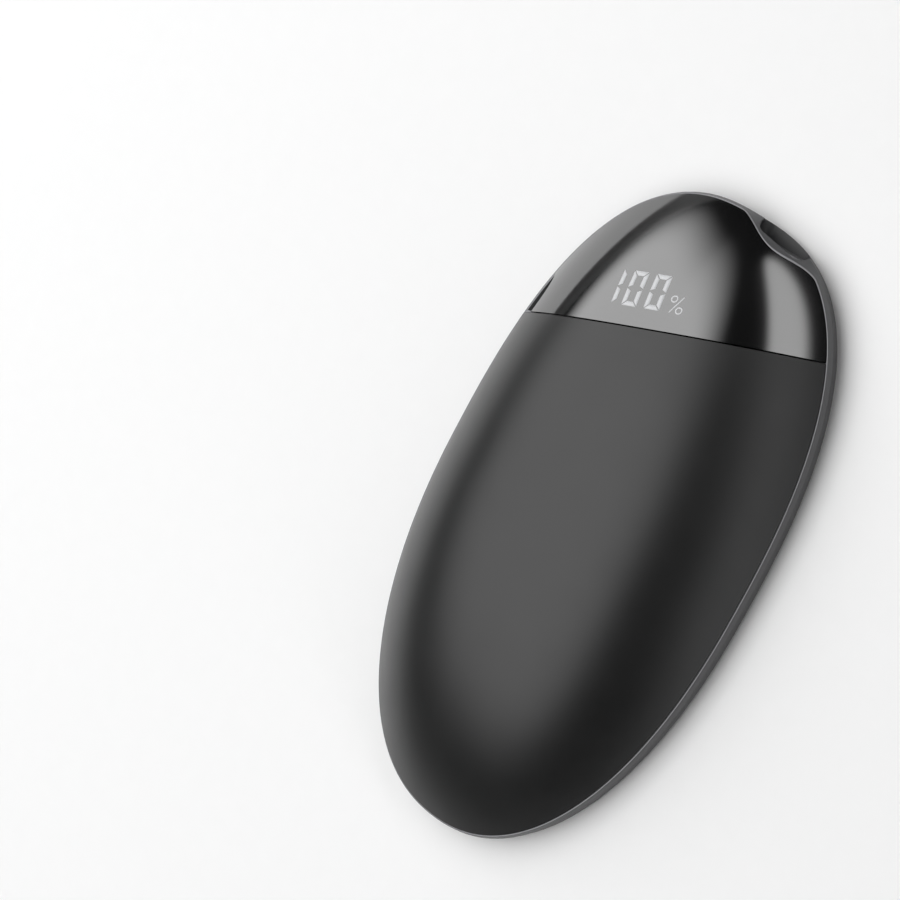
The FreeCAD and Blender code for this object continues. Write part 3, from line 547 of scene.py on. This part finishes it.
def lay_percent(verts, faces):
    """The percent sign: a slanted line between two rings."""
    right = PERCENT_LEFT + PERCENT_WIDTH
    top = PERCENT_LOW + PERCENT_HEIGHT
    start, end = PERCENT_LEFT + RING_RADIUS, right - RING_RADIUS
    lay_bar(verts, faces, (start - LINE_HALF, PERCENT_LOW), (end - LINE_HALF, top),
            (start + LINE_HALF, PERCENT_LOW), (end + LINE_HALF, top))
    lay_ring(verts, faces, (start + LINE_HALF, top - RING_RADIUS))
    lay_ring(verts, faces, (end - LINE_HALF, PERCENT_LOW + RING_RADIUS))


def make_digits():
    """The lit display: a one, two zeros and the percent sign."""
    verts, faces = [], []
    low, high = DIGIT_LOW, DIGIT_LOW + DIGIT_HEIGHT
    middle = (low + high) / 2

    def upright(edge, inward):
        """Two bars on one side of a digit, longer along its outer edge."""
        inner = edge + inward * BAR_WIDTH
        for end, into in ((low, 1), (high, -1)):
            lay_bar(
                verts, faces,
                (edge, end + into * BAR_GAP), (edge, middle - into * BAR_GAP),
                (inner, end + into * (BAR_GAP + BAR_WIDTH)),
                (inner, middle - into * (BAR_GAP + BAR_WIDTH / 2)),
            )

    def level(left, end, into):
        """A bar across the foot or the top of a digit."""
        right = left + DIGIT_WIDTH
        lay_bar(
            verts, faces,
            (left + BAR_GAP, end), (right - BAR_GAP, end),
            (left + BAR_GAP + BAR_WIDTH, end + into * BAR_WIDTH),
            (right - BAR_GAP - BAR_WIDTH, end + into * BAR_WIDTH),
        )

    upright(ONE_LEFT, inward=1)
    for left in ZERO_LEFTS:
        upright(left, inward=1)
        upright(left + DIGIT_WIDTH, inward=-1)
        level(left, low, into=1)
        level(left, high, into=-1)
    lay_percent(verts, faces)
    return make_object("digit_glow", verts, faces)


# Materials

GRAIN_DETAIL = 3.0
PATCH_GRAINS = 40


def shader_of(made):
    """The shader of a finish."""
    return made.node_tree.nodes["Principled BSDF"]


def material(name, colour, roughness, grain, depth, metallic=0.0, spread=0.15, specular=0.5):
    """A moulded or metal finish: fine grain in its bump and colour, broad patches in its gloss."""
    made = bpy.data.materials.new(name)
    made.use_nodes = True
    nodes, links = made.node_tree.nodes, made.node_tree.links
    shader = shader_of(made)
    shader.inputs["Metallic"].default_value = metallic
    shader.inputs["Specular IOR Level"].default_value = specular
    place = nodes.new("ShaderNodeTexCoord")
    fine = nodes.new("ShaderNodeTexNoise")
    fine.inputs["Scale"].default_value = grain
    fine.inputs["Detail"].default_value = GRAIN_DETAIL
    links.new(place.outputs["Object"], fine.inputs["Vector"])
    broad = nodes.new("ShaderNodeTexNoise")
    broad.inputs["Scale"].default_value = grain / PATCH_GRAINS
    links.new(place.outputs["Object"], broad.inputs["Vector"])
    tone = nodes.new("ShaderNodeMix")
    tone.data_type = "RGBA"
    tone.inputs["A"].default_value = (*[c * (1 - spread) for c in colour], 1)
    tone.inputs["B"].default_value = (*[min(c * (1 + spread), 1) for c in colour], 1)
    links.new(fine.outputs["Fac"], tone.inputs["Factor"])
    links.new(tone.outputs["Result"], shader.inputs["Base Color"])
    gloss = nodes.new("ShaderNodeMapRange")
    gloss.inputs["To Min"].default_value = roughness * (1 - spread / 2)
    gloss.inputs["To Max"].default_value = roughness * (1 + spread / 2)
    links.new(broad.outputs["Fac"], gloss.inputs["Value"])
    links.new(gloss.outputs["Result"], shader.inputs["Roughness"])
    bump = nodes.new("ShaderNodeBump")
    bump.inputs["Strength"].default_value = 1.0
    bump.inputs["Distance"].default_value = depth
    links.new(fine.outputs["Fac"], bump.inputs["Height"])
    links.new(bump.outputs["Normal"], shader.inputs["Normal"])
    return made


def paint_ledge_highlight(made, colour, low, high):
    """Painted highlight on the band's top ledge: the faces whose normals point up by low to high or more
    are mixed to a lighter colour and made metallic.
    """
    nodes, links = made.node_tree.nodes, made.node_tree.links
    shader = shader_of(made)
    tone = shader.inputs["Base Color"].links[0].from_socket
    face = nodes.new("ShaderNodeNewGeometry")
    split = nodes.new("ShaderNodeSeparateXYZ")
    links.new(face.outputs["True Normal"], split.inputs["Vector"])
    mask = nodes.new("ShaderNodeMapRange")
    mask.inputs["From Min"].default_value = low
    mask.inputs["From Max"].default_value = high
    links.new(split.outputs["Z"], mask.inputs["Value"])
    mix = nodes.new("ShaderNodeMix")
    mix.data_type = "RGBA"
    mix.inputs["B"].default_value = (*colour, 1)
    links.new(mask.outputs["Result"], mix.inputs["Factor"])
    links.new(tone, mix.inputs["A"])
    links.new(mix.outputs["Result"], shader.inputs["Base Color"])
    links.new(mask.outputs["Result"], shader.inputs["Metallic"])


COVER = material(
    "cover_black", colour=(0.003, 0.003, 0.0032), roughness=0.37,
    grain=7000, depth=0.006 * MM, specular=0.64,
)

WINDOW = material(
    "window_black", colour=(0.002, 0.002, 0.0022), roughness=0.1,
    grain=400, depth=0.0, spread=0.1, specular=1.0,
)
WINDOW_IOR = 1.82
shader_of(WINDOW).inputs["IOR"].default_value = WINDOW_IOR

BAND = material(
    "band_grey", colour=(0.05, 0.05, 0.053), roughness=0.42,
    grain=9000, depth=0.008 * MM, specular=0.7,
)
# The band's up-facing ledge gets a painted highlight, lighter and metallic.
paint_ledge_highlight(BAND, colour=(0.18, 0.18, 0.187), low=0.85, high=0.93)

BACK = material(
    "back_black", colour=(0.022, 0.022, 0.0235), roughness=0.5,
    grain=6000, depth=0.01 * MM, specular=0.7,
)

BUTTON = material(
    "button_black", colour=(0.009, 0.009, 0.0095), roughness=0.7,
    grain=5000, depth=0.001 * MM, specular=0.03,
)

# The socket's steel is darkened far below bright steel: painted shade for its place deep in the port.
SOCKET = material(
    "socket_steel_painted_shade", colour=(0.16, 0.16, 0.165), roughness=0.55,
    grain=4000, depth=0.004 * MM, metallic=1.0,
)

GLOW = material(
    "digit_white", colour=(0.35, 0.35, 0.357), roughness=0.5,
    grain=3000, depth=0.0, spread=0.03,
)
GLOW_LIGHT = (0.95, 0.97, 1.0, 1)
GLOW_STRENGTH = 0.3
shader_of(GLOW).inputs["Emission Color"].default_value = GLOW_LIGHT
shader_of(GLOW).inputs["Emission Strength"].default_value = GLOW_STRENGTH

# Finishes of the CAD nodes: roughness, grain and depth by slot, and the nodes with a finish of their own
METALS = ("aluminium", "brushed_steel", "chrome", "cast_iron")
PLAIN_LOOK = (0.5, 5000, 0.008 * MM)
LOOKS = {
    "tongue_black": (0.45, 6000, 0.005 * MM),
    "seal_rubber": (0.7, 5000, 0.01 * MM),
}
NODE_FINISHES = {"power_button": BUTTON, "usb_c_shell": SOCKET}


def slot_material(slot):
    """The finish of an inner piece, from the record's colour and class."""
    entry = [m for m in frame["record"]["materials"] if m["slot"] == slot][0]
    roughness, grain, depth = LOOKS.get(slot, PLAIN_LOOK)
    metallic = 1.0 if entry["class"] in METALS else 0.0
    return material(slot, entry["base_color"][:3], roughness, grain, depth, metallic)


def dress_nodes():
    """Give every CAD node its own finish, or else the finish of its slot."""
    slot_finishes = {}
    for part in frame["record"]["subparts"]:
        node, slot = part["node"], part["material_slot"]
        if node in NODE_FINISHES:
            finish = NODE_FINISHES[node]
        else:
            if slot not in slot_finishes:
                slot_finishes[slot] = slot_material(slot)
            finish = slot_finishes[slot]
        for place in frame["nodes"][node].material_slots:
            place.material = finish


# Floor, light and camera


def make_stage():
    """A round white floor that sweeps up into a low wall."""
    z = cad_low.z - FLOOR_GAP
    section = [(FLOOR_MIDDLE, z), (FLOOR_RADIUS, z)]
    for step in range(1, SWEEP_STEPS + 1):
        angle = math.pi / 2 * step / SWEEP_STEPS
        out = FLOOR_RADIUS + SWEEP_RADIUS * math.sin(angle)
        section.append((out, z + SWEEP_RADIUS * (1 - math.cos(angle))))
    section.append((FLOOR_RADIUS + SWEEP_RADIUS, z + WALL_HEIGHT))
    count = len(section)
    verts, faces = [], []
    for turn in range(STAGE_TURNS):
        angle = 2 * math.pi * turn / STAGE_TURNS
        verts += [(r * math.cos(angle), r * math.sin(angle), h) for r, h in section]
    for turn in range(STAGE_TURNS):
        here, there = turn * count, (turn + 1) % STAGE_TURNS * count
        for n in range(count - 1):
            faces.append((here + n, here + n + 1, there + n + 1, there + n))
    faces.append(tuple(turn * count for turn in range(STAGE_TURNS)))
    stage = make_object("stage", verts, faces)
    white = material(
        "stage_white", colour=(0.88, 0.88, 0.88), roughness=0.9,
        grain=300, depth=0.0, spread=0.01,
    )
    stage.data.materials.append(white)


def soften(lamp):
    """Fade a lamp from its middle to its rim, as a diffuser does."""
    lamp.use_nodes = True
    nodes, links = lamp.node_tree.nodes, lamp.node_tree.links
    place = nodes.new("ShaderNodeNewGeometry")
    away = nodes.new("ShaderNodeVectorMath")
    away.operation = "DISTANCE"
    away.inputs[1].default_value = LAMP_MIDDLE
    links.new(place.outputs["Parametric"], away.inputs[0])
    fade = nodes.new("ShaderNodeMapRange")
    fade.interpolation_type = "SMOOTHSTEP"
    fade.inputs["From Min"].default_value, fade.inputs["From Max"].default_value = LAMP_FADE
    fade.inputs["To Min"].default_value = 1.0
    fade.inputs["To Max"].default_value = 0.0
    links.new(away.outputs["Value"], fade.inputs["Value"])
    links.new(fade.outputs["Result"], nodes["Emission"].inputs["Strength"])


def softbox(name, turn, rise, roll, width, length, shift, strength):
    """An oval lamp that faces the object, turned left of the camera, raised and shifted lengthways."""
    middle = (cad_low + cad_high) / 2
    level = CAMERA_BACK * math.cos(turn) - CAMERA_RIGHT * math.sin(turn)
    facing = level * math.cos(rise) + CAMERA_UP * math.sin(rise)
    across = CAMERA_UP.cross(facing).normalized()
    axes = Matrix((across, facing.cross(across), facing)).transposed().to_4x4()
    axes = axes @ Matrix.Rotation(roll, 4, "Z")
    lamp = bpy.data.lights.new(name, "AREA")
    lamp.shape = "ELLIPSE"
    lamp.size = width
    lamp.size_y = length
    lamp.energy = strength * math.pi * (math.pi / 4 * width * length)
    soften(lamp)
    item = bpy.data.objects.new(name, lamp)
    item.matrix_world = Matrix.Translation(middle) @ axes @ Matrix.Translation((0, shift, LAMP_DISTANCE))
    item.visible_camera = False
    bpy.context.scene.collection.objects.link(item)


def make_world():
    """A dim grey surround."""
    world = bpy.data.worlds.new("studio")
    world.use_nodes = True
    background = world.node_tree.nodes["Background"]
    background.inputs["Color"].default_value = (WORLD_GREY, WORLD_GREY, WORLD_GREY, 1)
    background.inputs["Strength"].default_value = 1.0
    bpy.context.scene.world = world


def make_camera():
    """The camera at the photograph's viewing angle."""
    data = bpy.data.cameras.new("camera")
    data.lens = CAMERA_LENS
    data.sensor_width = CAMERA_SENSOR
    data.clip_start = CAMERA_NEAR
    data.clip_end = CAMERA_FAR
    item = bpy.data.objects.new("camera", data)
    turn = Matrix((CAMERA_RIGHT, CAMERA_UP, CAMERA_BACK)).transposed().to_4x4()
    item.matrix_world = Matrix.Translation(CAMERA_PLACE) @ turn
    bpy.context.scene.collection.objects.link(item)
    bpy.context.scene.camera = item


# The object
dress(shell("front_skin", side=-1), "body", "cover_black", COVER, "front_cover")
dress(shell("window_skin", side=1), "body", "window_black", WINDOW, "display_window")
band = band_ring("band_skin")
back = back_tray("back_skin")
cutter = port_cutter()
cut_port(band, cutter)
cut_port(back, cutter)
bpy.data.objects.remove(cutter)
dress(band, "body", "band_grey", BAND, "mid_band")
dress(back, "body", "back_black", BACK, "back_cover")
dress(make_digits(), "body", "digit_white", GLOW)
dress_nodes()

# The studio
make_stage()
softbox(
    "main_box", turn=math.radians(58), rise=math.radians(14), roll=math.radians(18),
    width=1.06, length=2.56, shift=0.0, strength=2.0,
)
softbox(
    "side_strip", turn=math.radians(-25.5), rise=math.radians(-4), roll=math.radians(15),
    width=0.195, length=3.6, shift=0.5, strength=1.85,
)
make_world()
make_camera()

bpy.context.scene.view_settings.view_transform = "Standard"
